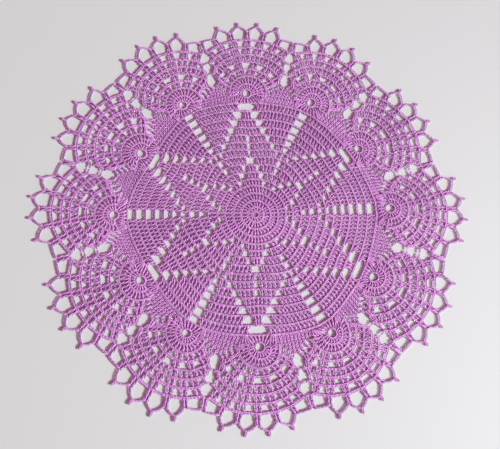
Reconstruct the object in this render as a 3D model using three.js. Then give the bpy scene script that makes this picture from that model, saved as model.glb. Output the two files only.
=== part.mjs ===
// A round crocheted lace tablecloth, worked in one piece from the centre
// outwards and lying flat: a twelve-petalled star of solid stitches, twelve
// fans around it, and an edging of pointed loops, four to each fan.
// Millimetres, +Z up, the underside on z = 0, the middle of its box on the Z axis.
// The cloth is one sheet with its real outline and its largest gaps.

import * as THREE from 'three';

// ---- sizes of the regular pattern, before the cloth's own unevenness
const THICKNESS = 2.6;        // the cloth as it lies
const FANS = 12;              // every second one stands on a ladder of gaps, the others on a star point
const FAN_STEP = 360 / FANS;
const FAN_CENTRE = 111.9;     // the arcs of a fan are drawn about this point of its axis
const CORD = 1.5;             // width of the chain cord in the edging
const POST = 2.9;             // width of the spokes between the edging's loops
const PICOT = 5.4;            // from the top of a loop's gap to its tip

// ---- gaps of the star; the ring that the work starts from is the first
const START_RING = 4.2;
// one row for each other gap: distance from the centre,
// angle from the axis, width across, height outwards
const LADDER_GAPS = [
  { name: 'ladder_1', reach: 43.4, angle: 0, width: 4.5, height: 5.0 },
  { name: 'ladder_2', reach: 51.1, angle: 0, width: 5.4, height: 5.6 },
  { name: 'ladder_3', reach: 64.9, angle: 0, width: 6.0, height: 5.4 },
  { name: 'ladder_4', reach: 72.3, angle: 0, width: 7.6, height: 5.2 },
  { name: 'ladder_5', reach: 78.9, angle: 0, width: 8.5, height: 5.2 },
  { name: 'ladder_6', reach: 86.3, angle: 0, width: 8.8, height: 5.6 },
  { name: 'ladder_7', reach: 93.8, angle: 0, width: 9.1, height: 5.8 },
  { name: 'ladder_8', reach: 101.3, angle: 0, width: 9.2, height: 5.8 },
];
const STAR_GAPS = [
  { name: 'inner_point', reach: 46.5, angle: 0, width: 8.1, height: 5.2 },
  { name: 'line_1', reach: 62.2, angle: 19.6, width: 4.1, height: 4.2 },
  { name: 'line_2', reach: 67.8, angle: 14.7, width: 4.3, height: 4.4 },
  { name: 'line_3', reach: 73.5, angle: 10.8, width: 4.5, height: 4.6 },
  { name: 'line_4', reach: 80.3, angle: 7.85, width: 5.8, height: 5.4 },
  { name: 'line_5', reach: 88.0, angle: 4.9, width: 7.4, height: 5.8 },
  { name: 'star_tip', reach: 96.0, angle: 0, width: 16.5, height: 6.4 },
];

// ---- gaps of a fan: distance from the fan's centre, angle from its axis
const FAN_GAPS = [
  { name: 'fan_1', reach: 26.4, angle: 0, width: 7.2, height: 5.8 },
  { name: 'fan_2', reach: 26.4, angle: 28, width: 7.2, height: 5.6 },
  { name: 'fan_3', reach: 26.4, angle: 53, width: 6.8, height: 5.4 },
  { name: 'arc_1', reach: 47.0, angle: 7.4, width: 7.4, height: 5.6 },
  { name: 'arc_2', reach: 47.0, angle: 22.5, width: 7.2, height: 5.6 },
  { name: 'arc_3', reach: 46.9, angle: 36.7, width: 6.8, height: 5.2 },
];
const BASE_GAP = { name: 'base', width: 7.2, height: 6.8 };
const LADDER_FAN_BASE = 114.9; // distance of a base gap from the centre
const STAR_FAN_BASE = 109.2;

// ---- gaps on the axis of each valley between two fans
const VALLEY_GAPS = [
  { name: 'valley_1', reach: 123.6, width: 8.0, height: 10.0 },
  { name: 'valley_2', reach: 136.2, width: 6.8, height: 7.0 },
  { name: 'valley_3', reach: 147.8, width: 10.0, height: 8.6 },
];

// ---- spokes of the edging, about the fan's centre: foot and top distances
const SPOKES = [
  { name: 'middle', angle: 0, foot: 51.2, top: 60.6 },
  { name: 'second', angle: 15.4, foot: 51.0, top: 59.2 },
  { name: 'outer', angle: 30.7, foot: 50.4, top: 58.6 },
  { name: 'valley', angle: 43.4, foot: 52.8, top: 60.4 },
];
// ---- loops between the spokes; a pointed one has a tip, a plain one none
const LOOPS = [
  { name: 'inner', from: 0, to: 1, tip: 69.6, tipAngle: 7.6 },
  { name: 'outer', from: 1, to: 2, tip: 69.6, tipAngle: 23.4 },
  { name: 'side', from: 2, to: 3, tip: 0, tipAngle: 37.2 },
];

// ---- how the hand-made cloth departs from the regular pattern, one row for
// each fan and the valley after it, in millimetres outwards and anticlockwise
// at the star gap, the fan's base, the fan's tips, and the valley's first and
// last gap
const CENTRE_SHIFT = [2.6, -3.4];
const STAR_RING = 98, BASE_RING = 117, VALLEY_RING = 147.6, TIP_RING = 179;
const UNEVEN = [
  { starOut: -1.0, starTurn: 1.7, baseOut: 2.2, baseTurn: 2.2, tipOut: 1.9, tipTurn: 1.2, firstOut: -1.1, firstTurn: -1.4, lastOut: -0.7, lastTurn: -0.8 },
  { starOut: -0.5, starTurn: 1.6, baseOut: -0.7, baseTurn: 1.5, tipOut: -0.6, tipTurn: 1.2, firstOut: 0.1, firstTurn: 0.5, lastOut: 0.0, lastTurn: 1.1 },
  { starOut: -3.0, starTurn: 1.5, baseOut: -1.1, baseTurn: 2.3, tipOut: 1.8, tipTurn: 1.4, firstOut: -1.0, firstTurn: -1.6, lastOut: 0.5, lastTurn: -1.0 },
  { starOut: -1.8, starTurn: 1.5, baseOut: -1.9, baseTurn: 1.7, tipOut: -2.4, tipTurn: -1.9, firstOut: -1.3, firstTurn: -0.6, lastOut: -1.1, lastTurn: -0.9 },
  { starOut: -2.5, starTurn: 2.2, baseOut: -3.2, baseTurn: 1.9, tipOut: 1.3, tipTurn: -2.1, firstOut: -2.0, firstTurn: -0.6, lastOut: -0.2, lastTurn: -0.6 },
  { starOut: -5.6, starTurn: 2.5, baseOut: -3.6, baseTurn: 2.3, tipOut: -0.6, tipTurn: -0.9, firstOut: -1.6, firstTurn: 0.3, lastOut: -1.8, lastTurn: -0.7 },
  { starOut: -0.9, starTurn: 3.3, baseOut: -0.7, baseTurn: 3.4, tipOut: 2.5, tipTurn: -3.5, firstOut: -0.5, firstTurn: -0.9, lastOut: -1.2, lastTurn: -1.2 },
  { starOut: -1.4, starTurn: 4.8, baseOut: -1.8, baseTurn: 4.5, tipOut: -1.4, tipTurn: -1.6, firstOut: 0.2, firstTurn: 1.3, lastOut: -0.5, lastTurn: 0.3 },
  { starOut: 1.2, starTurn: 3.3, baseOut: -1.0, baseTurn: 2.2, tipOut: 0.8, tipTurn: -0.1, firstOut: 1.5, firstTurn: 0.2, lastOut: 1.7, lastTurn: -0.3 },
  { starOut: 2.0, starTurn: 1.7, baseOut: 1.9, baseTurn: 2.2, tipOut: -3.0, tipTurn: -1.8, firstOut: 2.5, firstTurn: 0.1, lastOut: 0.8, lastTurn: -0.5 },
  { starOut: 3.1, starTurn: 1.0, baseOut: 3.2, baseTurn: 1.3, tipOut: 0.8, tipTurn: -2.2, firstOut: 0.7, firstTurn: -2.5, lastOut: 1.0, lastTurn: -2.9 },
  { starOut: 2.9, starTurn: -1.0, baseOut: 3.2, baseTurn: 0.2, tipOut: -1.5, tipTurn: -0.5, firstOut: 0.7, firstTurn: -0.2, lastOut: -0.2, lastTurn: -0.1 },
];

// ---- from the regular pattern to the cloth as it lies
const rad = (degrees) => (degrees * Math.PI) / 180;
const polar = (reach, degrees) => [reach * Math.cos(rad(degrees)), reach * Math.sin(rad(degrees))];
const wrap = (i, n) => ((i % n) + n) % n;

// an out-and-turn pair of the table as a shift in X and Y
function shiftAt(degrees, out, turn) {
  const [c, s] = polar(1, degrees);
  return [out * c - turn * s, out * s + turn * c];
}
// the shifts around one ring, at every half fan
function ringOf(fanShift, valleyShift) {
  const ring = [];
  for (let k = 0; k < FANS; k++) {
    ring.push(shiftAt(FAN_STEP * k, ...fanShift(UNEVEN[k])));
    ring.push(valleyShift ? shiftAt(FAN_STEP * (k + 0.5), ...valleyShift(UNEVEN[k])) : null);
  }
  ring.forEach((shift, i) => {
    if (!shift) ring[i] = [0, 1].map((a) => (ring[i - 1][a] + ring[wrap(i + 1, ring.length)][a]) / 2);
  });
  return ring;
}
const RINGS = [
  { reach: 0, shifts: Array(2 * FANS).fill(CENTRE_SHIFT) },
  { reach: STAR_RING, shifts: ringOf((r) => [r.starOut, r.starTurn]) },
  { reach: BASE_RING, shifts: ringOf((r) => [r.baseOut, r.baseTurn], (r) => [r.firstOut, r.firstTurn]) },
  { reach: VALLEY_RING, shifts: ringOf((r) => [(r.baseOut + r.tipOut) / 2, (r.baseTurn + r.tipTurn) / 2], (r) => [r.lastOut, r.lastTurn]) },
  { reach: TIP_RING, shifts: ringOf((r) => [r.tipOut, r.tipTurn]) },
];
// a smooth curve through four neighbours
function between(a, b, c, d, t) {
  return 0.5 * (2 * b + (c - a) * t + (2 * a - 5 * b + 4 * c - d) * t * t + (3 * b - a - 3 * c + d) * t * t * t);
}
function ringShift(ring, degrees) {
  const n = ring.shifts.length, x = (degrees / 360) * n, i = Math.floor(x), t = x - i;
  const p = [-1, 0, 1, 2].map((o) => ring.shifts[wrap(i + o, n)]);
  return [0, 1].map((a) => between(p[0][a], p[1][a], p[2][a], p[3][a], t));
}
function asItLies([x, y]) {
  const reach = Math.hypot(x, y), degrees = (Math.atan2(y, x) * 180) / Math.PI;
  let i = 0;
  while (i < RINGS.length - 2 && reach > RINGS[i + 1].reach) i++;
  const inner = RINGS[i], outer = RINGS[i + 1];
  const t = Math.min(1, (reach - inner.reach) / (outer.reach - inner.reach)), s = i === 0 ? t * t * (3 - 2 * t) : t;
  const a = ringShift(inner, degrees), b = ringShift(outer, degrees);
  return [x + a[0] + (b[0] - a[0]) * s, y + a[1] + (b[1] - a[1]) * s];
}

// ---- shapes in the regular pattern
// a gap with four rounded-off sides, its height pointing along an axis
function gapShape([x, y], facing, width, height, sides = 4) {
  const shape = [], [c, s] = polar(1, facing);
  const full = sides === 4 ? 0.5 : 0.5 / Math.cos(Math.PI / sides);
  for (let i = 0; i < sides; i++) {
    const turn = (360 / sides) * (i + 0.5);
    const along = (sides === 4 ? Math.SQRT2 : 1) * full * height * Math.cos(rad(turn));
    const across = (sides === 4 ? Math.SQRT2 : 1) * full * width * Math.sin(rad(turn));
    shape.push([x + along * c - across * s, y + along * s + across * c]);
  }
  return shape;
}
// a point of a fan, from its distance and angle about the fan's centre
function fanPoint(axis, reach, angle, aside = 0) {
  const [cx, cy] = polar(FAN_CENTRE, axis), [dx, dy] = polar(1, axis + angle);
  return [cx + reach * dx - aside * dy, cy + reach * dy + aside * dx];
}

function starGaps() {
  const shapes = [gapShape([0, 0], 0, START_RING, START_RING, 6)];
  for (let k = 0; k < FANS; k++) {
    const axis = FAN_STEP * k, list = k % 2 === 0 ? LADDER_GAPS : STAR_GAPS;
    for (const gap of list) {
      for (const side of gap.angle === 0 ? [1] : [1, -1]) {
        const at = axis + side * gap.angle;
        shapes.push(gapShape(polar(gap.reach, at), at, gap.width, gap.height, gap.width > 10 ? 8 : 4));
      }
    }
  }
  return shapes;
}

function fanGaps() {
  const shapes = [];
  for (let k = 0; k < FANS; k++) {
    const axis = FAN_STEP * k;
    shapes.push(gapShape(polar(k % 2 === 0 ? LADDER_FAN_BASE : STAR_FAN_BASE, axis), axis, BASE_GAP.width, BASE_GAP.height, 6));
    for (const gap of FAN_GAPS) {
      for (const side of gap.angle === 0 ? [1] : [1, -1]) {
        shapes.push(gapShape(fanPoint(axis, gap.reach, side * gap.angle), axis + side * gap.angle, gap.width, gap.height));
      }
    }
    for (const gap of VALLEY_GAPS) {
      const at = axis + FAN_STEP / 2;
      shapes.push(gapShape(polar(gap.reach, at), at, gap.width, gap.height, 6));
    }
  }
  return shapes;
}

// the gap inside one loop of the edging
function loopGap(axis, loop, side) {
  const a = SPOKES[loop.from], b = SPOKES[loop.to], half = POST / 2;
  const at = (reach, angle, aside) => fanPoint(axis, reach, side * angle, side * aside);
  if (!loop.tip) {
    return [
      at(a.foot + 1.6, a.angle, half), at(a.top - 1.9, a.angle, half * 0.7),
      at((a.top + b.top) / 2 - 1.6, loop.tipAngle, 0),
      at(b.top - 2.4, b.angle, -half * 1.1), at(b.foot + 0.4, b.angle, -half * 1.1), at(a.foot + 0.8, loop.tipAngle, 0),
    ];
  }
  return [
    at(a.foot + CORD / 2, a.angle, half), at(a.top - 2.2, a.angle, half * 0.75),
    at(loop.tip - PICOT, loop.tipAngle, 0),
    at(b.top - 2.2, b.angle, -half * 0.75), at(b.foot + CORD / 2, b.angle, -half),
    at(Math.min(a.foot, b.foot) + 0.2, (a.angle + b.angle) / 2, 0),
  ];
}
function loopGaps() {
  const shapes = [];
  for (let k = 0; k < FANS; k++) {
    for (const loop of LOOPS) for (const side of [1, -1]) shapes.push(loopGap(FAN_STEP * k, loop, side));
  }
  return shapes;
}

// the rim of one fan, from the valley before it to its middle spoke and on
function fanRim(axis) {
  const half = [];
  const at = (reach, angle, aside = 0) => half.push({ reach, angle, aside });
  at(SPOKES[3].top + 0.6, SPOKES[3].angle);
  at((SPOKES[2].top + SPOKES[3].top) / 2 + 0.2, LOOPS[2].tipAngle);
  at(SPOKES[2].top + 0.5, SPOKES[2].angle);
  for (const loop of [LOOPS[1], LOOPS[0]]) {
    at(loop.tip - PICOT * 0.62, loop.tipAngle, CORD * 1.5);
    at(loop.tip, loop.tipAngle, CORD * 0.55);
    at(loop.tip, loop.tipAngle, -CORD * 0.55);
    at(loop.tip - PICOT * 0.62, loop.tipAngle, -CORD * 1.5);
    at(SPOKES[loop.from].top + 0.9, SPOKES[loop.from].angle);
  }
  const clockwise = half.map((p) => fanPoint(axis, p.reach, -p.angle, -p.aside));
  const onwards = half.slice(1, -1).reverse().map((p) => fanPoint(axis, p.reach, p.angle, p.aside));
  return [...clockwise, ...onwards];
}

// ---- one flat sheet from an outline and its gaps
// triangles over the outline, their shared sides turned until none is a sliver
function meshOver(outline, gaps) {
  const points = [outline, ...gaps].flat();
  const faces = THREE.ShapeUtils.triangulateShape(outline, gaps).map((f) => [...f]);
  const signed = ([a, b, c]) =>
    (points[b].x - points[a].x) * (points[c].y - points[a].y) - (points[c].x - points[a].x) * (points[b].y - points[a].y);
  faces.forEach((f) => { if (signed(f) < 0) f.reverse(); });
  const angleAt = (i, j, k) => {
    const ax = points[j].x - points[i].x, ay = points[j].y - points[i].y;
    const bx = points[k].x - points[i].x, by = points[k].y - points[i].y;
    return Math.atan2(Math.abs(ax * by - ay * bx), ax * bx + ay * by);
  };
  const sides = new Map();
  const key = (a, b) => a * points.length + b;
  const addSides = (f) => faces[f].forEach((a, i) => sides.set(key(a, faces[f][(i + 1) % 3]), f));
  faces.forEach((_, f) => addSides(f));
  for (let turned = true, rounds = 0; turned && rounds < 60; rounds++) {
    turned = false;
    for (let f = 0; f < faces.length; f++) {
      for (let i = 0; i < 3; i++) {
        const a = faces[f][i], b = faces[f][(i + 1) % 3], c = faces[f][(i + 2) % 3];
        const g = sides.get(key(b, a));
        if (g === undefined) continue;
        const d = faces[g].find((v) => v !== a && v !== b);
        if (angleAt(c, a, b) + angleAt(d, a, b) <= Math.PI + 1e-6) continue;
        if (signed([a, d, c]) <= 0 || signed([d, b, c]) <= 0) continue;
        sides.delete(key(a, b));
        sides.delete(key(b, a));
        faces[f] = [a, d, c];
        faces[g] = [d, b, c];
        addSides(f);
        addSides(g);
        turned = true;
        break;
      }
    }
  }
  return { points, faces };
}
function sheetOf(outline, gaps, thickness) {
  const { points, faces } = meshOver(outline, gaps);
  const n = points.length, position = [], index = [];
  for (const z of [0, thickness]) for (const p of points) position.push(p.x, p.y, z);
  for (const [a, b, c] of faces) index.push(c, b, a, a + n, b + n, c + n);
  // walls: the rim anticlockwise, the gaps clockwise
  let first = 0;
  for (const loop of [outline, ...gaps]) {
    for (let i = 0; i < loop.length; i++) {
      const a = first + i, b = first + ((i + 1) % loop.length);
      index.push(a, b, b + n, a, b + n, a + n);
    }
    first += loop.length;
  }
  const geometry = new THREE.BufferGeometry();
  geometry.setAttribute('position', new THREE.Float32BufferAttribute(position, 3));
  geometry.setIndex(index);
  return geometry;
}

// ---- the cloth
const laid = (shape, clockwise) => {
  const path = shape.map(asItLies).map(([x, y]) => new THREE.Vector2(x, y));
  return THREE.ShapeUtils.isClockWise(path) === clockwise ? path : path.reverse();
};
const rim = [];
for (let k = 0; k < FANS; k++) rim.push(...fanRim(FAN_STEP * k));
const gaps = [...starGaps(), ...fanGaps(), ...loopGaps()].map((gap) => laid(gap, true));
const geometry = sheetOf(laid(rim, false), gaps, THICKNESS);
geometry.computeBoundingBox();
const box = geometry.boundingBox;
geometry.translate(-(box.min.x + box.max.x) / 2, -(box.min.y + box.max.y) / 2, 0);
geometry.computeVertexNormals();

const yarn = new THREE.MeshStandardMaterial({ color: 0xb87bc0, roughness: 0.85, metalness: 0 });
const cloth = new THREE.Mesh(geometry, yarn);
cloth.name = 'lace_cloth';

const tablecloth = new THREE.Group();
tablecloth.add(cloth);
export default tablecloth;
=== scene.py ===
"""A round lilac tablecloth crocheted in one piece, lying flat on a plain pale floor.

Every stitch is a short length of two-legged yarn and every round ends in a chain of
linked loops. The pattern is charted once in a regular form, in units of 0.85 mm
about the centre, and then laid as unevenly as the hand-made cloth lies.
"""
import math

import bpy
import numpy as np
from mathutils import Matrix


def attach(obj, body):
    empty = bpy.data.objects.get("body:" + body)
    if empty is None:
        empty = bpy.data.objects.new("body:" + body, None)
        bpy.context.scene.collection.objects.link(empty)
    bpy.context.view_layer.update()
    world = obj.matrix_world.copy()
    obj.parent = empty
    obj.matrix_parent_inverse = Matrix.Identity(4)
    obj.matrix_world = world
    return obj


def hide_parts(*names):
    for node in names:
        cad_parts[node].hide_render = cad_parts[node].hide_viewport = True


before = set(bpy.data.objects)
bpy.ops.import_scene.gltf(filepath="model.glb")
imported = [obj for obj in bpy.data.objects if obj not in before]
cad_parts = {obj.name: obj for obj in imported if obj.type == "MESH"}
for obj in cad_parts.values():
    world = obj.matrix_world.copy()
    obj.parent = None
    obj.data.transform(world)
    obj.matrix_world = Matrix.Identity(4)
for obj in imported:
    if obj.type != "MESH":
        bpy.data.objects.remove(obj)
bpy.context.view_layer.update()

# ---------------------------------------------------------------- camera
camera_data = bpy.data.cameras.new("camera")
camera_data.lens = 46.08
camera_data.sensor_width = 36.0
camera_data.shift_x = 0.05309
camera_data.shift_y = -0.00276
camera = bpy.data.objects.new("camera", camera_data)
bpy.context.scene.collection.objects.link(camera)
camera.matrix_world = Matrix((
    (0.9981048292, 0.0030593277, -0.0614604781, -0.0563455447),
    (-0.0201114764, 0.9601347333, -0.2788132394, -0.1570604484),
    (0.0581573586, 0.2795209016, 0.9583766416, 0.5046426825),
    (0.0, 0.0, 0.0, 1.0),
))
bpy.context.scene.camera = camera

# ---------------------------------------------------------------- sizes
UNIT = 0.85           # millimetres in one unit of the chart
YARN = 0.44           # radius of the cotton yarn, millimetres
PRESSED = 0.48        # the yarn lies pressed flatter than it is wide
PITCH = 3.9           # one stitch across, units
RNG = np.random.default_rng(20)

# how the cloth departs from the regular chart, in millimetres outwards and
# anticlockwise, one row for each fan: at the star, the fan's base, its tips,
# and the first and last gap of the valley after it
UNEVEN = np.array([
    [-1.0, 1.7, 2.2, 2.2, 1.9, 1.2, -1.1, -1.4, -0.7, -0.8],
    [-0.5, 1.6, -0.7, 1.5, -0.6, 1.2, 0.1, 0.5, 0.0, 1.1],
    [-3.0, 1.5, -1.1, 2.3, 1.8, 1.4, -1.0, -1.6, 0.5, -1.0],
    [-1.8, 1.5, -1.9, 1.7, -2.4, -1.9, -1.3, -0.6, -1.1, -0.9],
    [-2.5, 2.2, -3.2, 1.9, 1.3, -2.1, -2.0, -0.6, -0.2, -0.6],
    [-5.6, 2.5, -3.6, 2.3, -0.6, -0.9, -1.6, 0.3, -1.8, -0.7],
    [-0.9, 3.3, -0.7, 3.4, 2.5, -3.5, -0.5, -0.9, -1.2, -1.2],
    [-1.4, 4.8, -1.8, 4.5, -1.4, -1.6, 0.2, 1.3, -0.5, 0.3],
    [1.2, 3.3, -1.0, 2.2, 0.8, -0.1, 1.5, 0.2, 1.7, -0.3],
    [2.0, 1.7, 1.9, 2.2, -3.0, -1.8, 2.5, 0.1, 0.8, -0.5],
    [3.1, 1.0, 3.2, 1.3, 0.8, -2.2, 0.7, -2.5, 1.0, -2.9],
    [2.9, -1.0, 3.2, 0.2, -1.5, -0.5, 0.7, -0.2, -0.2, -0.1],
])
CENTRE_SHIFT = (2.6, -3.4)
BOX_SHIFT = np.array([0.30344208, -0.28210623])


def ring_shifts(fan_columns, valley_columns):
    """The shift in X and Y at every half fan of one ring."""
    shifts = []
    for k, row in enumerate(UNEVEN):
        for half, pair in ((0, fan_columns(row)), (1, valley_columns(row) if valley_columns else None)):
            if pair is None:
                shifts.append(None)
                continue
            a = math.radians(30 * k + 15 * half)
            out, turn = pair
            shifts.append([out * math.cos(a) - turn * math.sin(a), out * math.sin(a) + turn * math.cos(a)])
    for i, s in enumerate(shifts):
        if s is None:
            shifts[i] = [(shifts[i - 1][c] + shifts[(i + 1) % 24][c]) / 2 for c in (0, 1)]
    return np.array(shifts)


RING_REACH = np.array([0.0, 98.0, 117.0, 147.6, 179.0])
RING_SHIFT = [
    np.array([CENTRE_SHIFT] * 24),
    ring_shifts(lambda r: (r[0], r[1]), None),
    ring_shifts(lambda r: (r[2], r[3]), lambda r: (r[6], r[7])),
    ring_shifts(lambda r: ((r[2] + r[4]) / 2, (r[3] + r[5]) / 2), lambda r: (r[8], r[9])),
    ring_shifts(lambda r: (r[4], r[5]), None),
]


def ring_shift(table, degrees):
    x = (degrees % 360) / 15
    i = np.floor(x).astype(int)
    t = (x - i)[..., None]
    a, b, c, d = (table[(i + o) % 24] for o in (-1, 0, 1, 2))
    return 0.5 * (2 * b + (c - a) * t + (2 * a - 5 * b + 4 * c - d) * t ** 2 + (3 * b - a - 3 * c + d) * t ** 3)


def lay(points):
    """Points of the regular chart (units) as they lie in the frame (millimetres)."""
    p = np.asarray(points, float) * UNIT
    reach = np.hypot(p[..., 0], p[..., 1])
    degrees = np.degrees(np.arctan2(p[..., 1], p[..., 0]))
    ring = np.clip(np.searchsorted(RING_REACH, reach, side="left") - 1, 0, 3)
    out = np.zeros_like(p)
    for k in range(4):
        m = ring == k
        t = np.clip((reach[m] - RING_REACH[k]) / (RING_REACH[k + 1] - RING_REACH[k]), None, 1)
        s = t * t * (3 - 2 * t) if k == 0 else t
        inner, outer = ring_shift(RING_SHIFT[k], degrees[m]), ring_shift(RING_SHIFT[k + 1], degrees[m])
        out[m] = p[m] + inner + (outer - inner) * s[..., None]
    return out + BOX_SHIFT


def polar(reach, degrees):
    a = np.radians(degrees)
    return np.stack([reach * np.cos(a), reach * np.sin(a)], -1)


# ---------------------------------------------------------------- the chart
# stitches as (foot, middle, head, width), the low strands between neighbours, short
# stitches, and chain links as (from, to, kind, the point their rows run round)
WEDGES = 6
posts, fills, shorts, links, corners = [], [], [], [], []
HEAD, FREE, BAND = 0, 1, 2     # a link on the heads of stitches, a fine or a full one in the air
TIGHT, ROUND, SWEPT = 0, 1, 2  # how far the yarn rounds the corners of a gap


def chain(path, kinds=None, closed=False, longest=4.6, step=3.2, around=(0.0, 0.0), loose=FREE):
    """A row of chain links along a path; long steps are split into several free links."""
    path = [np.asarray(p, float) for p in path]
    if closed:
        path = path + [path[0]]
    for i in range(len(path) - 1):
        a, b = path[i], path[i + 1]
        gap = float(np.hypot(*(b - a)))
        kind = kinds[i] if kinds is not None else (loose if gap > longest else HEAD)
        n = 1 if gap <= longest and kind == HEAD else max(1, round(gap / step))
        for j in range(n):
            links.append((a + (b - a) * j / n, a + (b - a) * (j + 1) / n, kind, around))


def row(stitches, closed=False, furthest=5.3, rounded=True, lone=3.7):
    """A row of stitches side by side, anticlockwise; each is as wide as its place.

    The gaps of a closed round are rounder than those of the fans, and a gap that is
    much wider than a stitch is rounded further in.
    """
    stitches = [tuple(np.asarray(p, float) for p in s) for s in stitches]
    n = len(stitches)
    near = [9.0] * n
    beside = [[True, True] for _ in range(n)]
    wide = [[0.0, 0.0] for _ in range(n)]
    for i in range(n if closed else n - 1):
        j = (i + 1) % n
        gap = float(np.hypot(*(stitches[i][1] - stitches[j][1])))
        near[i], near[j] = min(near[i], gap), min(near[j], gap)
        wide[i][1] = wide[j][0] = gap
        if gap < furthest:
            beside[i][1] = beside[j][0] = False
            fills.append(tuple(0.5 * (p + q) for p, q in zip(stitches[i], stitches[j])))
    for s, gap in zip(stitches, near):
        posts.append((*s, min(gap, 4.2) / PITCH if gap < furthest else lone / PITCH))
    if rounded:
        for s, around_it, widths in zip(stitches, beside, wide):
            for is_open, width, side in zip(around_it, widths, (1.0, -1.0)):
                if is_open:
                    corners.append((*s, side, TIGHT if not closed else ROUND if width < 14 else SWEPT))


# --- the solid middle: (stitches, reach of the heads)
SOLID = [(12, 8.0), (24, 14.6), (36, 22.2), (48, 30.0)]
previous = 3.7
parent_deg = np.arange(12) * 30.0 + 7
for count, reach in SOLID:
    deg = (np.arange(count) + 0.5) * 360 / count
    deg = deg + 1.4 * np.sin(np.radians(6 * deg))
    near = parent_deg[np.argmin(np.abs((parent_deg[None] - deg[:, None] + 180) % 360 - 180), axis=1)]
    off = (deg - near + 180) % 360 - 180
    heads_at = polar(reach, deg)
    row(list(zip(polar(previous, near + off * 0.55), polar((previous + reach) / 2, deg), heads_at)), closed=True)
    chain(heads_at, closed=True, longest=6)
    previous, parent_deg = reach, deg
ring = polar(3.2, np.arange(0, 360, 36))
chain(ring, closed=True, kinds=[FREE] * 10, step=2.2)

# --- the rounds of the star, from the fifth to the fourteenth
LADDER_TOP = {3: 30.0, 4: 37.5, 5: 46.6, 6: 55.6, 7: 64.6, 8: 72.8, 9: 80.8, 10: 88.9, 11: 97.1, 12: 105.9, 13: 114.8}
STAR_TOP = {3: 30.0, 4: 36.3, 5: 43.2, 6: 50.6, 7: 58.5, 8: 66.0, 9: 73.6, 10: 81.8, 11: 90.0, 12: 98.5, 13: 108.3}
LAST_TOP = ([0, 5, 10, 15, 20, 30], [123.5, 121.9, 120.7, 119.4, 118.4, 118.0])


def top_of(k, degrees):
    """Distance of the heads of round k from the centre."""
    f = np.abs((np.asarray(degrees, float) + 30) % 60 - 30)
    if k == 14:
        return np.interp(f, *LAST_TOP)
    return LADDER_TOP[k] + (STAR_TOP[k] - LADDER_TOP[k]) * f / 30


# one row a round, in degrees from the ladder: the run beside the ladder (first,
# last, count) and the run inside the star (first, last or None when it crosses
# the star's axis, count)
ROUNDS = {
    4: ((3.1, 3.1, 1), (15.9, None, 6)),
    5: ((3.0, 10.15, 2), (22.65, None, 4)),
    6: ((4.2, 17.4, 4), (26.2, None, 3)),
    7: ((4.05, 23.9, 6), None),
    8: ((2.36, 2.36, 1), (8.06, 26.9, 6)),
    9: ((3.45, 7.2, 2), (13.6, 26.84, 5)),
    10: ((3.77, 12.25, 4), (18.35, 26.97, 4)),
    11: ((3.77, 15.9, 6), (22.5, None, 7)),
    12: ((3.53, 18.75, 8), (25.55, None, 5)),
    13: ((3.35, 21.7, 10), (28.5, None, 3)),
    14: ((3.13, 24.53, 12), None),
}


def run_of(spec, crosses=False):
    first, last, count = spec
    if last is None:
        return list(np.linspace(first, 60 - first, count)[: (count + 1) // 2])
    return list(np.linspace(first, last, count))


half = {k: (run_of(a), run_of(b) if b else []) for k, (a, b) in ROUNDS.items()}
feet, heads = {}, {}
for k in range(4, 15):
    a, b = half[k]
    # heads: half way to the stitch that stands on this one
    if k < 14:
        next_a, next_b = half[k + 1]
        shift = 1
        head_a = [0.5 * (m + next_a[i]) if i < len(next_a) else m for i, m in enumerate(a)]
        if k == 7:
            head_a = [0.5 * (a[0] + next_a[0])] + [0.5 * (a[i] + next_b[i - 1]) for i in range(1, 6)]
        head_b = [None] * len(b)
        for i in range(len(b)):
            if i >= 1 and i - 1 < len(next_b):
                head_b[i] = 0.5 * (b[i] + next_b[i - 1])
        for i in range(len(b)):
            if head_b[i] is None:
                if i + 1 < len(b) and head_b[i + 1] is not None:
                    head_b[i] = head_b[i + 1] - (b[i + 1] - b[i])
                else:
                    head_b[i] = b[i]
        if k == 6:
            head_b = [27.0, 30.0]
    else:
        head_a, head_b = [m + 0.25 * (m - f) for m, f in zip(a, heads[13][0] + [22.9, 24.0])], []
    heads[k] = (head_a, head_b)
    # feet: on the stitch below, or round the chain of the gap below
    if k == 4:
        feet[k] = (list(a), list(b))
    elif k == 8:
        feet[k] = ([heads[7][0][0]], heads[7][0][1:] + [27.9])
    else:
        below_a, below_b = heads[k - 1]
        left = below_a[-1]
        right = below_b[0] if below_b else 60 - left
        centre, room = (left + right) / 2, math.degrees(1.7 / top_of(k - 1, (left + right) / 2))
        foot_a = list(below_a)
        for i in range(len(a) - len(below_a)):
            foot_a.append(centre + (i - 0.5) * room)
        foot_b = list(below_b[1:])
        if k == 6:
            foot_b = [26.6, 30.0]
        while len(foot_b) < len(b):
            foot_b.append(30.0)
        feet[k] = (foot_a[: len(a)], foot_b[: len(b)])


for k in range(4, 15):
    order = []
    for run in (0, 1):
        for f, m, h in zip(feet[k][run], half[k][run], heads[k][run]):
            order.append((f, m, h))
            if abs(m - 30) > 1e-6:
                order.append((60 - f, 60 - m, 60 - h))
    order.sort(key=lambda s: s[1])
    made = []
    for sector in range(6):
        for f, m, h in order:
            f, m, h = f + 60 * sector, m + 60 * sector, h + 60 * sector
            middle = polar(0.5 * (top_of(k - 1, m) + top_of(k, m)), m)
            made.append((polar(top_of(k - 1, f), f), middle, polar(top_of(k, h), h)))
    row(made, closed=True)
    chain([s[2] for s in made], closed=True, longest=5.6, step=3.1)

# --- the petals: rows of short stitches, each row two fewer
PETAL_ROWS = 6
PETAL_BASE, PETAL_STEP, PETAL_PITCH = 119.3, 3.17, 3.44


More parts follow.
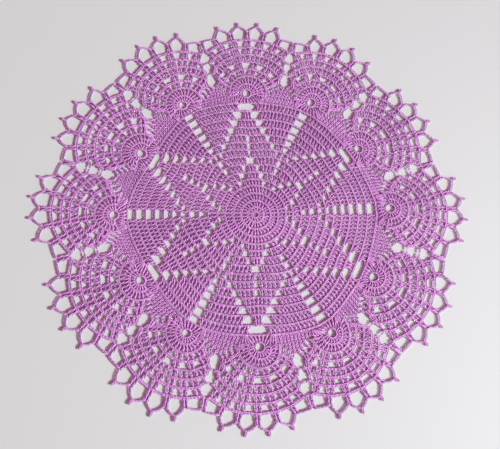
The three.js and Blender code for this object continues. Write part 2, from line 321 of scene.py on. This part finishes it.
def petal_point(m, x, up):
    """A point of petal m, x across it and so many rows up, turned with its tilted rows."""
    side = 1 if m % 2 == 0 else -1
    lean = -0.088 * x * side * (1 - up / 8.0)
    bow = -0.0022 * x * x * (1 - up / 7.0)
    y = PETAL_BASE + PETAL_STEP * up + lean + bow
    a = math.radians(30 * m + 15)
    return np.array([y * math.cos(a) - x * math.sin(a), y * math.sin(a) + x * math.cos(a)])


for m in range(12):
    for up in range(PETAL_ROWS):
        count = 12 - 2 * up
        for i in range(count):
            x = (i - (count - 1) / 2) * PETAL_PITCH
            lean = 0.55 if up % 2 == 0 else -0.55
            shorts.append((petal_point(m, x - lean, up + 0.05), petal_point(m, x, up + 0.55), petal_point(m, x + lean * 0.6, up + 1.0)))


# --- the fans
def fan_reach(k, d):
    side = 1 if k % 2 == 0 else -1
    return 131.6 + side * 3.35 * np.clip(1 - np.asarray(d, float) / 55, 0, 1) ** 1.1


def fan_point(k, d, degrees, aside=0.0):
    """A point of fan k from its distance and angle about the fan's centre."""
    a = math.radians(30 * k + degrees)
    c = polar(fan_reach(k, d), 30 * k)
    return c + np.array([d * math.cos(a) - aside * math.sin(a), d * math.sin(a) + aside * math.cos(a)])


def valley_point(v, across, along):
    """A point beside the axis of the valley after fan v."""
    a = math.radians(30 * v + 15)
    return np.array([along * math.cos(a) - across * math.sin(a), along * math.sin(a) + across * math.cos(a)])


# rows of paired stitches: (foot, head, half the distance between the two, angles of the pairs)
FAN_ROWS = [
    (19.0, 27.0, 2.25, (13.5, 41.0, 68.0)),
    (27.0, 35.0, 2.05, (14.0, 40.5, 65.0)),
    (35.0, 43.0, 2.45, (0.0, 14.0, 28.0, 42.0, 55.0)),
    (43.0, 51.0, 2.35, (0.0, 14.3, 28.5, 41.5)),
    (51.0, 60.0, 2.20, (0.0, 15.0, 29.6, 43.2)),
]
EDGE_COLUMNS = ((0.0, 70.3), (15.4, 69.0), (30.7, 68.2))
TIPS, TIP_REACH = (7.8, 23.9), 76.6
# where each row's chain runs on to, beside the valley: (across, along)
ROW_ENDS = [
    [(17.0, 135.0)],
    [(9.4, 142.0), (13.4, 139.0)],
    [(1.1, 154.2), (4.2, 154.2)],
    [(1.1, 166.8), (4.4, 166.6)],
    [(1.2, 180.0)],
]
RING = 5.5            # radius of the ring of chain a fan starts from
# stitches that join the ends of a fan's rows to the petal beside it, and those
# beside the gaps of the valley: (foot, head) as (across, along) the valley's axis
JOINS = [((17.3, 125.2), (20.6, 130.8)), ((13.2, 128.6), (17.0, 135.0)), ((9.3, 131.6), (13.4, 139.0)),
         ((5.4, 134.6), (9.4, 142.0)), ((1.7, 138.0), (6.6, 143.6))]
SIDES = [((8.4, 141.8), (7.6, 147.6), (5.2, 153.8)), ((6.1, 142.6), (5.8, 147.8), (3.2, 153.0)),
         ((6.7, 157.0), (6.2, 161.4), (4.4, 166.2))]

outline = []
for k in range(12):
    hub = fan_point(k, 0, 0)
    # the ring and the stitches worked into it
    chain([fan_point(k, RING - 0.7, a) for a in np.arange(0, 360, 40)], kinds=[FREE] * 9, closed=True, step=3.4, around=hub)
    made = [(fan_point(k, RING, a), fan_point(k, 8.0, a), fan_point(k, 10.6, a)) for a in np.linspace(-95, 95, 11)]
    row(made)
    chain([s[2] for s in made], around=hub)
    # the stitches that tie the ring down to the star
    down = top_of(14, 0 if k % 2 == 0 else 30)
    made = []
    for a, slide in ((252, 12.0), (229, 8.0), (204, 3.9), (180, 0.0), (156, -3.9), (131, -8.0), (108, -12.0)):
        foot, head = polar(down, 30 * k - math.degrees(slide / down)), fan_point(k, RING, a)
        made.append((foot, 0.5 * (foot + head) + polar(0.3, 30 * k), head))
    row(made[::-1], rounded=False)
    for sign in (-1, 1):
        made = []
        for reach, a, slide in ((8.8, 100.0, 12.9), (12.3, 100.5, 13.6), (15.8, 101.5, 14.4)):
            foot, head = polar(down, 30 * k + sign * math.degrees(slide / down)), fan_point(k, reach, sign * a)
            made.append((foot, 0.5 * (foot + head), head))
        row(made[::sign], rounded=False)
    # the first full row
    made = [(fan_point(k, 10.6, a * 0.955), fan_point(k, 14.8, a), fan_point(k, 19.0, a)) for a in -102 + 13.6 * np.arange(16)]
    row(made)
    chain([valley_point(k - 1, 20.6, 130.8)] + [s[2] for s in made] + [valley_point(k, -20.6, 130.8)], longest=5.8, around=hub)
    # the rows of pairs
    for r, (inner, outer, apart, angles) in enumerate(FAN_ROWS):
        path = []
        for c in sorted({-a for a in angles} | set(angles)):
            pair = []
            for s in (-1, 1):
                wob = RNG.normal(0, 0.35, 3)
                f, m, h = (math.degrees(s * apart * w / d) for w, d in ((1.05, inner), (1.0, (inner + outer) / 2), (1.0, outer)))
                pair.append((fan_point(k, inner, c + f + wob[0]), fan_point(k, (inner + outer) / 2, c + m + wob[1]), fan_point(k, outer, c + h + wob[2])))
            row(pair)
            path += [p[2] for p in pair]
        ends = ROW_ENDS[r]
        chain([valley_point(k - 1, x, y) for x, y in ends] + path + [valley_point(k, -x, y) for x, y in ends[::-1]], longest=4.3, around=hub, loose=FREE if r == 1 else BAND)
    # the ends of the rows, beside the petals and the valleys
    for v, side in ((k - 1, 1), (k, -1)):
        for foot, head in JOINS:
            f, h = valley_point(v, side * foot[0], foot[1]), valley_point(v, side * head[0], head[1])
            row([(f, 0.5 * (f + h), h)], rounded=False, lone=5.0)
        for s in SIDES:
            row([tuple(valley_point(v, side * p[0], p[1]) for p in s)], rounded=False)
    # the spoke on the valley's axis
    row([(valley_point(k, -side * 1.5, 180.4), valley_point(k, -side * 1.75, 186.0), valley_point(k, -side * 1.5, 191.6)) for side in (1, -1)])
    # the edging: spokes, then pointed loops between them, plain ones at the sides
    for a, reach in EDGE_COLUMNS:
        for c in sorted({a, -a}):
            pair = []
            for s in (-1, 1):
                f, h = math.degrees(s * 1.6 / 60), math.degrees(s * 1.25 / reach)
                pair.append((fan_point(k, 60.0, c + f), fan_point(k, (60 + reach) / 2, c + 0.5 * (f + h)), fan_point(k, reach, c + h)))
            row(pair)
    rim = []
    for side in (-1, 1):
        half_rim = [fan_point(k, EDGE_COLUMNS[0][1] + 0.4, 0, side * 0.9)]
        for (a, ra), (b, rb), tip in ((EDGE_COLUMNS[0], EDGE_COLUMNS[1], TIPS[0]), (EDGE_COLUMNS[1], EDGE_COLUMNS[2], TIPS[1])):
            start = fan_point(k, ra + 0.4, side * a, side * 0.9)
            stop = fan_point(k, rb + 0.4, side * b, -side * 0.9)
            peak = fan_point(k, TIP_REACH, side * tip)
            shoulder_a = fan_point(k, 0.5 * (ra + TIP_REACH) + 1.1, side * (a + (tip - a) * 0.55))
            shoulder_b = fan_point(k, 0.5 * (rb + TIP_REACH) + 1.1, side * (b + (tip - b) * 0.55))
            chain([start, shoulder_a, peak, shoulder_b, stop], kinds=[FREE] * 4, step=3.0, around=hub)
            knot = [fan_point(k, TIP_REACH + 2.3 + 2.1 * math.cos(t), side * tip, 0.75 * math.sin(t)) for t in np.arange(0, 2 * math.pi, math.pi / 2)]
            chain(knot, kinds=[FREE] * 4, closed=True, step=2.2, around=hub)
            half_rim += [shoulder_a, fan_point(k, TIP_REACH + 4, side * tip), shoulder_b, stop]
        v = k if side == 1 else k - 1
        outer = fan_point(k, EDGE_COLUMNS[2][1] + 0.4, side * EDGE_COLUMNS[2][0], side * 0.9)
        crown = fan_point(k, 71.2, side * 37.4)
        valley = valley_point(v, -side * 1.2, 192.2)
        chain([outer, crown, valley], kinds=[FREE] * 2, step=3.1, around=hub)
        half_rim += [outer, crown, valley]
        rim += half_rim[::-1] if side == -1 else half_rim
    outline.append(rim)

# ---------------------------------------------------------------- yarn
# each strand of a stitch: (aside in units of a full pitch, way up from foot to
# head, height in millimetres); the stitches lean a little anticlockwise as they go out
LOWER = np.array([(1.20, -0.05, 1.75), (1.02, 0.08, 2.10), (0.30, 0.29, 2.20), (-0.42, 0.46, 2.00), (-0.85, 0.57, 1.50)])
UPPER = np.array([(0.92, 0.37, 1.45), (0.78, 0.50, 1.95), (0.14, 0.70, 1.95), (-0.48, 0.86, 1.55), (-0.60, 0.97, 1.20)])
BODY = np.array([(0.20, -0.04, 1.45), (0.28, 0.25, 1.62), (-0.02, 0.60, 1.38), (-0.15, 0.96, 1.05)])
FILL = np.array([(0.25, -0.05, 1.20), (0.10, 0.45, 1.05), (-0.15, 0.97, 0.92)])
# the yarn that rounds the corners of a gap, at a stitch's foot and at its head
FOOT_TURN = np.array([(0.80, 0.26, 1.35), (1.05, 0.12, 1.40), (1.65, -0.02, 1.40)])
HEAD_TURN = np.array([(0.70, 0.74, 1.20), (1.00, 0.88, 1.25), (1.65, 1.02, 1.35)])
FOOT_ROUND = np.array([(0.75, 0.34, 1.40), (1.20, 0.16, 1.45), (2.35, -0.01, 1.50)])
HEAD_ROUND = np.array([(0.65, 0.66, 1.30), (1.10, 0.84, 1.40), (2.35, 1.01, 1.50)])
HEAD_SWEEP = np.array([(0.60, 0.46, 1.40), (1.30, 0.70, 1.50), (4.60, 1.02, 1.60)])
# a chain link: (way along, outwards in units, height)
INNER_LOOP = np.array([(-0.30, -0.16, 1.90), (0.10, -0.54, 2.16), (0.65, -0.54, 2.20), (1.10, -0.14, 1.94)])
OUTER_LOOP = np.array([(-0.30, 0.18, 1.84), (0.10, 0.54, 2.00), (0.65, 0.54, 2.02), (1.10, 0.16, 1.86)])
AIR_IN = np.array([(-0.30, -0.10, 1.50), (0.10, -0.44, 1.92), (0.65, -0.44, 1.96), (1.10, -0.10, 1.60)])
AIR_OUT = np.array([(-0.30, 0.10, 1.40), (0.10, 0.44, 1.72), (0.65, 0.44, 1.76), (1.10, 0.10, 1.50)])
AIR_BACK = np.array([(-0.15, -0.10, 1.00), (0.5, 0.10, 0.85), (1.15, -0.10, 1.00)])
BAND_IN = np.array([(-0.30, -0.45, 1.70), (0.10, -0.90, 1.98), (0.65, -0.90, 2.02), (1.10, -0.45, 1.74)])
BAND_OUT = np.array([(-0.30, 0.45, 1.62), (0.10, 0.80, 1.84), (0.65, 0.80, 1.88), (1.10, 0.45, 1.66)])
BAND_BACK = np.array([(-0.15, -0.05, 1.62), (0.5, -0.05, 1.72), (1.15, -0.05, 1.62)])
# a short stitch: two legs of a V and the bar over them
SHORT_A = np.array([(0.10, -0.25, 1.10), (0.62, 0.30, 1.75), (1.00, 0.98, 1.50)])
SHORT_B = np.array([(-0.05, -0.25, 1.00), (-0.62, 0.32, 1.55), (-1.00, 0.98, 1.35)])
SHORT_BAR = np.array([(-1.95, 0.70, 1.15), (-0.55, 0.98, 1.70), (0.75, 1.10, 1.75), (1.95, 0.90, 1.15)])
SHORT_LOW = np.array([(-1.90, 0.35, 0.75), (0.0, 0.45, 0.75), (1.90, 0.35, 0.75)])


class Yarn:
    """Gathers closed tubes of yarn into one mesh."""

    def __init__(self):
        self.co, self.quads, self.caps, self.quad_uv, self.tone, self.size = [], [], [], [], [], 0

    def add(self, xy, z, radius, sides, tone, pressed=PRESSED):
        """xy: (n, m, 2) chart units, z: (n, m) millimetres; one tube for each of n."""
        n, m = z.shape
        p = np.concatenate([lay(xy), z[..., None]], -1)
        t = np.empty_like(p)
        t[:, 1:-1] = p[:, 2:] - p[:, :-2]
        t[:, 0], t[:, -1] = p[:, 1] - p[:, 0], p[:, -1] - p[:, -2]
        t /= np.linalg.norm(t, axis=-1, keepdims=True) + 1e-9
        side = np.cross(t[:, 0], np.array([0.0, 0.0, 1.0]))
        side /= np.linalg.norm(side, axis=-1, keepdims=True) + 1e-9
        frames = np.empty_like(p)
        for j in range(m):
            side = side - (side * t[:, j]).sum(-1, keepdims=True) * t[:, j]
            side /= np.linalg.norm(side, axis=-1, keepdims=True) + 1e-9
            frames[:, j] = side
        other = np.cross(t, frames)
        a = (np.arange(sides) + 0.5) / sides * 2 * np.pi
        r = np.broadcast_to(np.asarray(radius, float), (n, m))[..., None, None]
        section = r * (np.cos(a)[:, None] * frames[:, :, None] + np.sin(a)[:, None] * other[:, :, None])
        section[..., 2] *= pressed
        ring = p[:, :, None] + section
        index = self.size + np.arange(n * m * sides).reshape(n, m, sides)
        following = np.roll(index, -1, axis=2)
        quads = np.stack([index[:, :-1], following[:, :-1], following[:, 1:], index[:, 1:]], -1).reshape(-1, 4)
        length = np.concatenate([np.zeros((n, 1)), np.cumsum(np.linalg.norm(np.diff(p, axis=1), axis=-1), 1)], 1)
        length = length + RNG.uniform(0, 3, (n, 1))
        u0 = np.broadcast_to(np.arange(sides) / sides, (n, m - 1, sides))
        v0 = np.broadcast_to(length[:, :-1, None], (n, m - 1, sides))
        v1 = np.broadcast_to(length[:, 1:, None], (n, m - 1, sides))
        u1 = u0 + 1 / sides
        uv = np.stack([np.stack([u0, v0], -1), np.stack([u1, v0], -1), np.stack([u1, v1], -1), np.stack([u0, v1], -1)], -2)
        self.co.append(ring.reshape(-1, 3))
        self.quads.append(quads)
        self.quad_uv.append(uv.reshape(-1, 2))
        self.caps.append((sides, np.concatenate([index[:, 0, ::-1], index[:, -1]])))
        self.tone.append(np.repeat(tone, m * sides))
        self.size += n * m * sides

    def build(self, name):
        co = np.concatenate(self.co) / 1000
        quads = np.concatenate(self.quads)
        loops = [quads.ravel()]
        starts = [np.arange(len(quads)) * 4]
        uv = [np.concatenate(self.quad_uv)]
        at = quads.size
        for sides, cap in self.caps:
            loops.append(cap.ravel())
            starts.append(at + np.arange(len(cap)) * sides)
            at += cap.size
            uv.append(np.zeros((cap.size, 2)))
        loops, starts, uv = np.concatenate(loops), np.concatenate(starts), np.concatenate(uv)
        mesh = bpy.data.meshes.new(name)
        mesh.vertices.add(len(co))
        mesh.vertices.foreach_set("co", co.astype(np.float32).ravel())
        mesh.loops.add(len(loops))
        mesh.loops.foreach_set("vertex_index", loops.astype(np.int32))
        mesh.polygons.add(len(starts))
        mesh.polygons.foreach_set("loop_start", starts.astype(np.int32))
        mesh.update(calc_edges=True)
        mesh.polygons.foreach_set("use_smooth", np.ones(len(starts), bool))
        layer = mesh.uv_layers.new(name="Yarn")
        layer.data.foreach_set("uv", uv.astype(np.float32).ravel())
        # a second map: the top seen from above in one half, the underside in the other
        normal = np.empty(len(starts) * 3, np.float32)
        mesh.polygons.foreach_get("normal", normal)
        down = np.repeat(normal.reshape(-1, 3)[:, 2] < 0, np.diff(np.append(starts, len(loops))))
        flat = co[loops][:, :2]
        low, high = flat.min(0), flat.max(0)
        flat = (flat - low) / (high - low)
        flat[:, 0] = 0.005 + 0.49 * flat[:, 0] + 0.5 * down
        flat[:, 1] = 0.005 + 0.99 * flat[:, 1]
        layer = mesh.uv_layers.new(name="OFBake")
        layer.data.foreach_set("uv", flat.astype(np.float32).ravel())
        mesh.uv_layers.active = mesh.uv_layers["Yarn"]
        tone = mesh.attributes.new("tone", "FLOAT", "POINT")
        tone.data.foreach_set("value", np.concatenate(self.tone).astype(np.float32))
        mesh.validate()
        obj = bpy.data.objects.new(name, mesh)
        bpy.context.scene.collection.objects.link(obj)
        return obj


def curve_at(foot, middle, head, t):
    """The stitch's axis and its right-hand side at each t."""
    t = t[..., None]
    p = foot[:, None] * (1 - t) * (1 - 2 * t) + 4 * middle[:, None] * t * (1 - t) + head[:, None] * t * (2 * t - 1)
    d = foot[:, None] * (4 * t - 3) + 4 * middle[:, None] * (1 - 2 * t) + head[:, None] * (4 * t - 1)
    d = d / (np.linalg.norm(d, axis=-1, keepdims=True) + 1e-9)
    return p, np.stack([d[..., 1], -d[..., 0]], -1)


def strands(yarn, stitch, shape, width, lift, tone, radius=YARN, sides=5, pressed=PRESSED):
    foot, middle, head = stitch
    n = len(foot)
    t = np.broadcast_to(shape[:, 1], (n, len(shape)))
    p, right = curve_at(foot, middle, head, t)
    xy = p + right * (shape[:, 0] * width[:, None])[..., None]
    yarn.add(xy, shape[:, 2] + lift[:, None], radius, sides, tone, pressed)


def ripple(xy):
    """The cloth's own slight rise and fall, in millimetres."""
    x, y = xy[:, 0] * 0.05, xy[:, 1] * 0.05
    return -0.28 + 0.09 * (1 + np.sin(1.3 * x + 0.6 * y + 0.4) * np.cos(0.9 * y - 0.7 * x + 1.1))


def settled(parts, jitter):
    """Stitches with a small hand-made unevenness, and their lift and tone."""
    s = np.array([np.stack(p[:3]) for p in parts])
    s = s + RNG.normal(0, jitter, s.shape)
    lift = ripple(s[:, 1]) + RNG.normal(0, 0.03, len(s))
    return s, lift, RNG.normal(0, 1, len(s))


def wedge_of(p):
    """Which sixth of the cloth a point is in; the cuts run down valleys."""
    return int(((math.degrees(math.atan2(p[1], p[0])) - 15) % 360) // 60) % WEDGES


def crochet(wedge, name):
    yarn = Yarn()
    some = [p for p in posts if wedge_of(p[1]) == wedge]
    s, lift, tone = settled(some, 0.10)
    width = np.array([p[3] for p in some]) * (1 + RNG.normal(0, 0.04, len(s)))
    stitch = (s[:, 0], s[:, 1], s[:, 2])
    strands(yarn, stitch, LOWER, width, lift, tone, radius=YARN * 1.08)
    strands(yarn, stitch, UPPER, width, lift, tone + 0.3, radius=YARN * 1.08)
    strands(yarn, stitch, BODY, width, lift, tone - 0.3, radius=YARN * 1.35)
    some = [p for p in fills if wedge_of(p[1]) == wedge]
    s, lift, tone = settled(some, 0.08)
    # the low strands between the stitches are coloured a little darker than the stitches (tone - 0.2): painted shade in
    # the slits between them
    strands(yarn, (s[:, 0], s[:, 1], s[:, 2]), FILL, np.ones(len(s)), lift, tone - 0.2, radius=YARN * 1.78, sides=4, pressed=0.15)
    some = [p for p in corners if wedge_of(p[1]) == wedge]
    s, lift, tone = settled(some, 0.08)
    side, turn = np.array([p[3] for p in some]), np.array([p[4] for p in some])
    for shape, turns, thick in (
        (FOOT_TURN, (TIGHT,), 1.1), (HEAD_TURN, (TIGHT,), 1.1),
        (FOOT_ROUND, (ROUND, SWEPT), 1.15), (HEAD_ROUND, (ROUND, SWEPT), 1.15), (HEAD_SWEEP, (SWEPT,), 1.25),
    ):
        use = np.isin(turn, turns)
        if use.any():
            strands(yarn, (s[use, 0], s[use, 1], s[use, 2]), shape, side[use], lift[use], tone[use], radius=YARN * thick, sides=4)
    some = [p for p in links if wedge_of(0.5 * (p[0] + p[1])) == wedge]
    a, b = np.array([l[0] for l in some]), np.array([l[1] for l in some])
    kind = np.array([l[2] for l in some])
    d = b - a
    out = np.stack([d[:, 1], -d[:, 0]], -1) / (np.linalg.norm(d, axis=1, keepdims=True) + 1e-9)
    away = 0.5 * (a + b) - np.array([l[3] for l in some])
    out *= np.where((out * away).sum(1, keepdims=True) < 0, -1.0, 1.0)
    lift = ripple(0.5 * (a + b)) + RNG.normal(0, 0.03, len(a))
    tone = RNG.normal(0, 1, len(a))
    for shape, of_kind, sides, radius in (
        (INNER_LOOP, HEAD, 5, 1.05), (OUTER_LOOP, HEAD, 5, 1.05),
        (AIR_IN, FREE, 5, 0.98), (AIR_OUT, FREE, 5, 0.98), (AIR_BACK, FREE, 4, 0.8),
        (BAND_IN, BAND, 5, 1.05), (BAND_OUT, BAND, 5, 1.05), (BAND_BACK, BAND, 4, 1.05),
    ):
        mask = kind == of_kind
        k = int(mask.sum())
        xy = a[mask][:, None] + d[mask][:, None] * shape[None, :, 0, None] + out[mask][:, None] * shape[None, :, 1, None]
        z = shape[None, :, 2] + lift[mask][:, None]
        yarn.add(xy, np.broadcast_to(z, (k, len(shape))).copy(), YARN * radius, sides, tone[mask])
    some = [p for p in shorts if wedge_of(p[1]) == wedge]
    s, lift, tone = settled(some, 0.07)
    stitch, width = (s[:, 0], s[:, 1], s[:, 2]), 0.95 + RNG.normal(0, 0.05, len(s))
    strands(yarn, stitch, SHORT_A, width, lift, tone)
    strands(yarn, stitch, SHORT_B, width, lift, tone + 0.2)
    strands(yarn, stitch, SHORT_BAR, width, lift, tone - 0.2)
    strands(yarn, stitch, SHORT_LOW, width, lift, tone - 0.5, sides=4)
    return yarn.build(name)


# ---------------------------------------------------------------- materials
def cotton():
    material = bpy.data.materials.new("lilac_cotton_yarn")
    material.use_nodes = True
    tree = material.node_tree
    nodes, link = tree.nodes, tree.links.new
    nodes.clear()
    output = nodes.new("ShaderNodeOutputMaterial")
    shader = nodes.new("ShaderNodeBsdfPrincipled")
    link(shader.outputs["BSDF"], output.inputs["Surface"])
    shader.inputs["Roughness"].default_value = 0.78
    shader.inputs["Specular IOR Level"].default_value = 0.25
    shader.inputs["Sheen Weight"].default_value = 0.3
    shader.inputs["Sheen Roughness"].default_value = 0.45
    # colour: two lilacs mixed by the stitch and by slow changes over the cloth
    place = nodes.new("ShaderNodeTexCoord")
    slow = nodes.new("ShaderNodeTexNoise")
    slow.inputs["Scale"].default_value = 22.0
    slow.inputs["Detail"].default_value = 2.0
    link(place.outputs["Object"], slow.inputs["Vector"])
    tone = nodes.new("ShaderNodeAttribute")
    tone.attribute_name = "tone"
    spread = nodes.new("ShaderNodeMath")
    spread.operation = "MULTIPLY_ADD"
    link(tone.outputs["Fac"], spread.inputs[0])
    spread.inputs[1].default_value = 0.13
    link(slow.outputs["Fac"], spread.inputs[2])
    ramp = nodes.new("ShaderNodeValToRGB")
    ramp.color_ramp.elements[0].position = 0.15
    ramp.color_ramp.elements[0].color = (0.70, 0.290, 0.750, 1)
    ramp.color_ramp.elements[1].position = 0.85
    ramp.color_ramp.elements[1].color = (0.88, 0.420, 0.910, 1)
    link(spread.outputs[0], ramp.inputs["Fac"])
    # fibres: fine streaks along the yarn
    uv = nodes.new("ShaderNodeUVMap")
    uv.uv_map = "Yarn"
    split = nodes.new("ShaderNodeSeparateXYZ")
    link(uv.outputs["UV"], split.inputs[0])
    # three plies twisted round each other; the colour is darkened in the grooves between them and lightened a little on
    # their crests: painted shade and a faint painted highlight
    along = nodes.new("ShaderNodeMath")
    along.operation = "MULTIPLY"
    along.inputs[1].default_value = 2 * math.pi / 0.95
    link(split.outputs["Y"], along.inputs[0])
    around = nodes.new("ShaderNodeMath")
    around.operation = "MULTIPLY_ADD"
    around.inputs[1].default_value = 2 * math.pi * 3
    link(split.outputs["X"], around.inputs[0])
    link(along.outputs[0], around.inputs[2])
    ply = nodes.new("ShaderNodeMath")
    ply.operation = "SINE"
    link(around.outputs[0], ply.inputs[0])
    shade = nodes.new("ShaderNodeMapRange")
    shade.inputs["From Min"].default_value = -1.0
    shade.inputs["From Max"].default_value = 1.0
    shade.inputs["To Min"].default_value = 0.80
    shade.inputs["To Max"].default_value = 1.06
    link(ply.outputs[0], shade.inputs["Value"])
    painted_ply_shade = nodes.new("ShaderNodeMix")
    painted_ply_shade.data_type = "RGBA"
    painted_ply_shade.blend_type = "MULTIPLY"
    painted_ply_shade.inputs["Factor"].default_value = 1.0
    link(ramp.outputs["Color"], painted_ply_shade.inputs["A"])
    link(shade.outputs["Result"], painted_ply_shade.inputs["B"])
    link(painted_ply_shade.outputs["Result"], shader.inputs["Base Color"])
    fuzz = nodes.new("ShaderNodeTexNoise")
    fuzz.inputs["Scale"].default_value = 5200.0
    fuzz.inputs["Detail"].default_value = 1.0
    link(place.outputs["Object"], fuzz.inputs["Vector"])
    height = nodes.new("ShaderNodeMath")
    height.operation = "MULTIPLY_ADD"
    link(fuzz.outputs["Fac"], height.inputs[0])
    height.inputs[1].default_value = 0.5
    link(ply.outputs[0], height.inputs[2])
    bump = nodes.new("ShaderNodeBump")
    bump.inputs["Strength"].default_value = 0.6
    bump.inputs["Distance"].default_value = 0.00006
    link(height.outputs[0], bump.inputs["Height"])
    link(bump.outputs["Normal"], shader.inputs["Normal"])
    return material


def floor_material():
    material = bpy.data.materials.new("pale_floor")
    material.use_nodes = True
    shader = material.node_tree.nodes["Principled BSDF"]
    shader.inputs["Base Color"].default_value = (0.75, 0.785, 0.80, 1)
    shader.inputs["Roughness"].default_value = 1.0
    shader.inputs["Specular IOR Level"].default_value = 0.25
    return material


yarn_material = cotton()
pieces = []
for w in range(WEDGES):
    piece = crochet(w, f"lace_wedge_{w + 1}")
    piece.data.materials.append(yarn_material)
    pieces.append(piece)

# ---------------------------------------------------------------- floor and light
bpy.ops.mesh.primitive_plane_add(size=80.0, location=(0, 0, 0))
floor = bpy.context.object
floor.name = "floor"
floor.data.materials.append(floor_material())

sun_data = bpy.data.lights.new("key", "SUN")
sun_data.energy = 3.70
sun_data.angle = math.radians(9)
sun_data.color = (0.93, 0.98, 1.0)
sun = bpy.data.objects.new("key", sun_data)
bpy.context.scene.collection.objects.link(sun)


def aim(azimuth, elevation):
    """Rotation of a light that shines from that direction."""
    a, e = math.radians(azimuth), math.radians(elevation)
    toward = np.array([math.cos(e) * math.cos(a), math.cos(e) * math.sin(a), math.sin(e)])
    from mathutils import Vector
    return Vector(toward).to_track_quat("Z", "Y")


sun.rotation_mode = "QUATERNION"
sun.rotation_quaternion = aim(-20, 29)

# a soft panel to the lower right, nearer than the key
panel_data = bpy.data.lights.new("panel", "AREA")
panel_data.energy = 1.05
panel_data.shape = "SQUARE"
panel_data.size = 0.5
panel_data.spread = math.radians(110)
panel = bpy.data.objects.new("panel", panel_data)
bpy.context.scene.collection.objects.link(panel)
panel.location = (0.60, -0.42, 0.42)
panel.rotation_mode = "QUATERNION"
panel.rotation_quaternion = aim(-40, 50)

world = bpy.data.worlds.new("studio")
bpy.context.scene.world = world
world.use_nodes = True
# pale round the horizon, and a dim warm fill overhead
sky = world.node_tree.nodes
from_where = sky.new("ShaderNodeTexCoord")
split = sky.new("ShaderNodeSeparateXYZ")
world.node_tree.links.new(from_where.outputs["Generated"], split.inputs[0])
rise = sky.new("ShaderNodeMapRange")
rise.inputs["From Min"].default_value = 0.26
rise.inputs["From Max"].default_value = 0.42
world.node_tree.links.new(split.outputs["Z"], rise.inputs["Value"])
tint = sky.new("ShaderNodeMix")
tint.data_type = "RGBA"
tint.inputs["A"].default_value = (0.55, 0.55, 0.56, 1)
tint.inputs["B"].default_value = (0.233, 0.129, 0.115, 1)
world.node_tree.links.new(rise.outputs["Result"], tint.inputs["Factor"])
world.node_tree.links.new(tint.outputs["Result"], sky["Background"].inputs["Color"])
bpy.context.scene.view_settings.view_transform = "Standard"

# ---------------------------------------------------------------- the pieces on the root, and their triangles and yarn area
def area_of(points):
    x, y = points[:, 0], points[:, 1]
    return 0.5 * abs(float(np.dot(x, np.roll(y, -1)) - np.dot(y, np.roll(x, -1))))


counts, shares = [], []
for w, piece in enumerate(pieces):
    # the wedge holds two whole fans; its flat size is that of its own outline
    edge = lay(np.array([(0.0, 0.0)] + [p for k in (2 * w + 1, 2 * w + 2) for p in outline[k % 12]])) / 1000
    edge[0] = lay(np.zeros((1, 2)))[0] / 1000
    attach(piece, "root")
    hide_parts("lace_cloth")
    mesh = piece.data
    mesh.calc_loop_triangles()
    counts.append(len(mesh.loop_triangles))
    area = np.empty(len(mesh.polygons), np.float32)
    mesh.polygons.foreach_get("area", area)
    shares.append(float(area.sum()) / 2 / area_of(edge))
